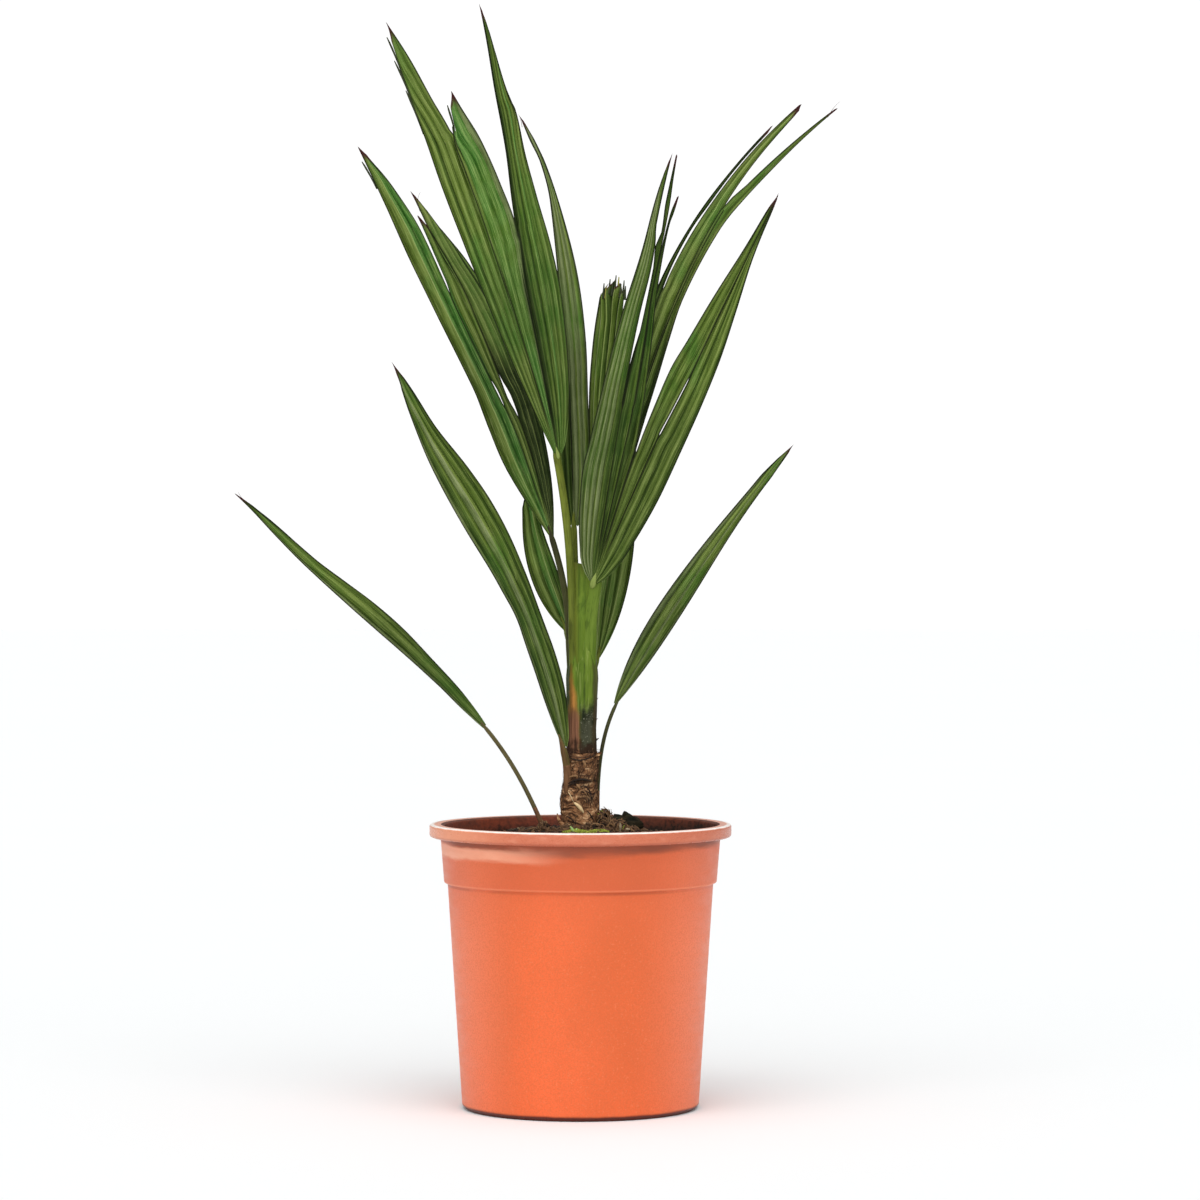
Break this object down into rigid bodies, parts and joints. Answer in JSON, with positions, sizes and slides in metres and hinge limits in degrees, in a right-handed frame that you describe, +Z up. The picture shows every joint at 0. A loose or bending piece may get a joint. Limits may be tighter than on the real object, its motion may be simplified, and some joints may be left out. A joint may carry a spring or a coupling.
{
  "type": "potted fan palm",
  "caption": "Young fan palm with upright pleated fronds on a short fibrous trunk, planted in soil in a round tapered nursery pot.",
  "frame": {"origin": "centre of the pot's flat underside", "axes": "+Z up along the pot's axis; the pictured side faces -Y; +X to the right in the picture"},
  "size_m": [0.3354, 0.17, 0.616],
  "materials": {
    "pot_plastic": "satin terracotta-coloured plastic with a fine speckle",
    "soil": "dark damp peat with pale bits",
    "moss": "soft moss",
    "bark": "rough bark",
    "trunk_fibre": "rough brown fibre and old leaf bases",
    "sheath": "smooth green leaf sheath with a dry brown strip",
    "frond": "satin pleated leaf, mid green with pale ribs, darker valleys and reddish-brown tips"
  },
  "bodies": {
    "root": {"pot": "pot_plastic", "soil": "soil", "moss": "moss", "bark_chip": "bark", "trunk": "trunk_fibre", "leaf_sheath": "sheath", "frond_left_low": "frond", "frond_left_lance": "frond", "frond_left_front": "frond", "frond_middle_back": "frond", "frond_left_back": "frond", "frond_left_short": "frond", "frond_right_short": "frond", "frond_right_front": "frond", "frond_right_back": "frond", "frond_spear": "frond", "frond_right_low": "frond"}
  },
  "joints": []
}
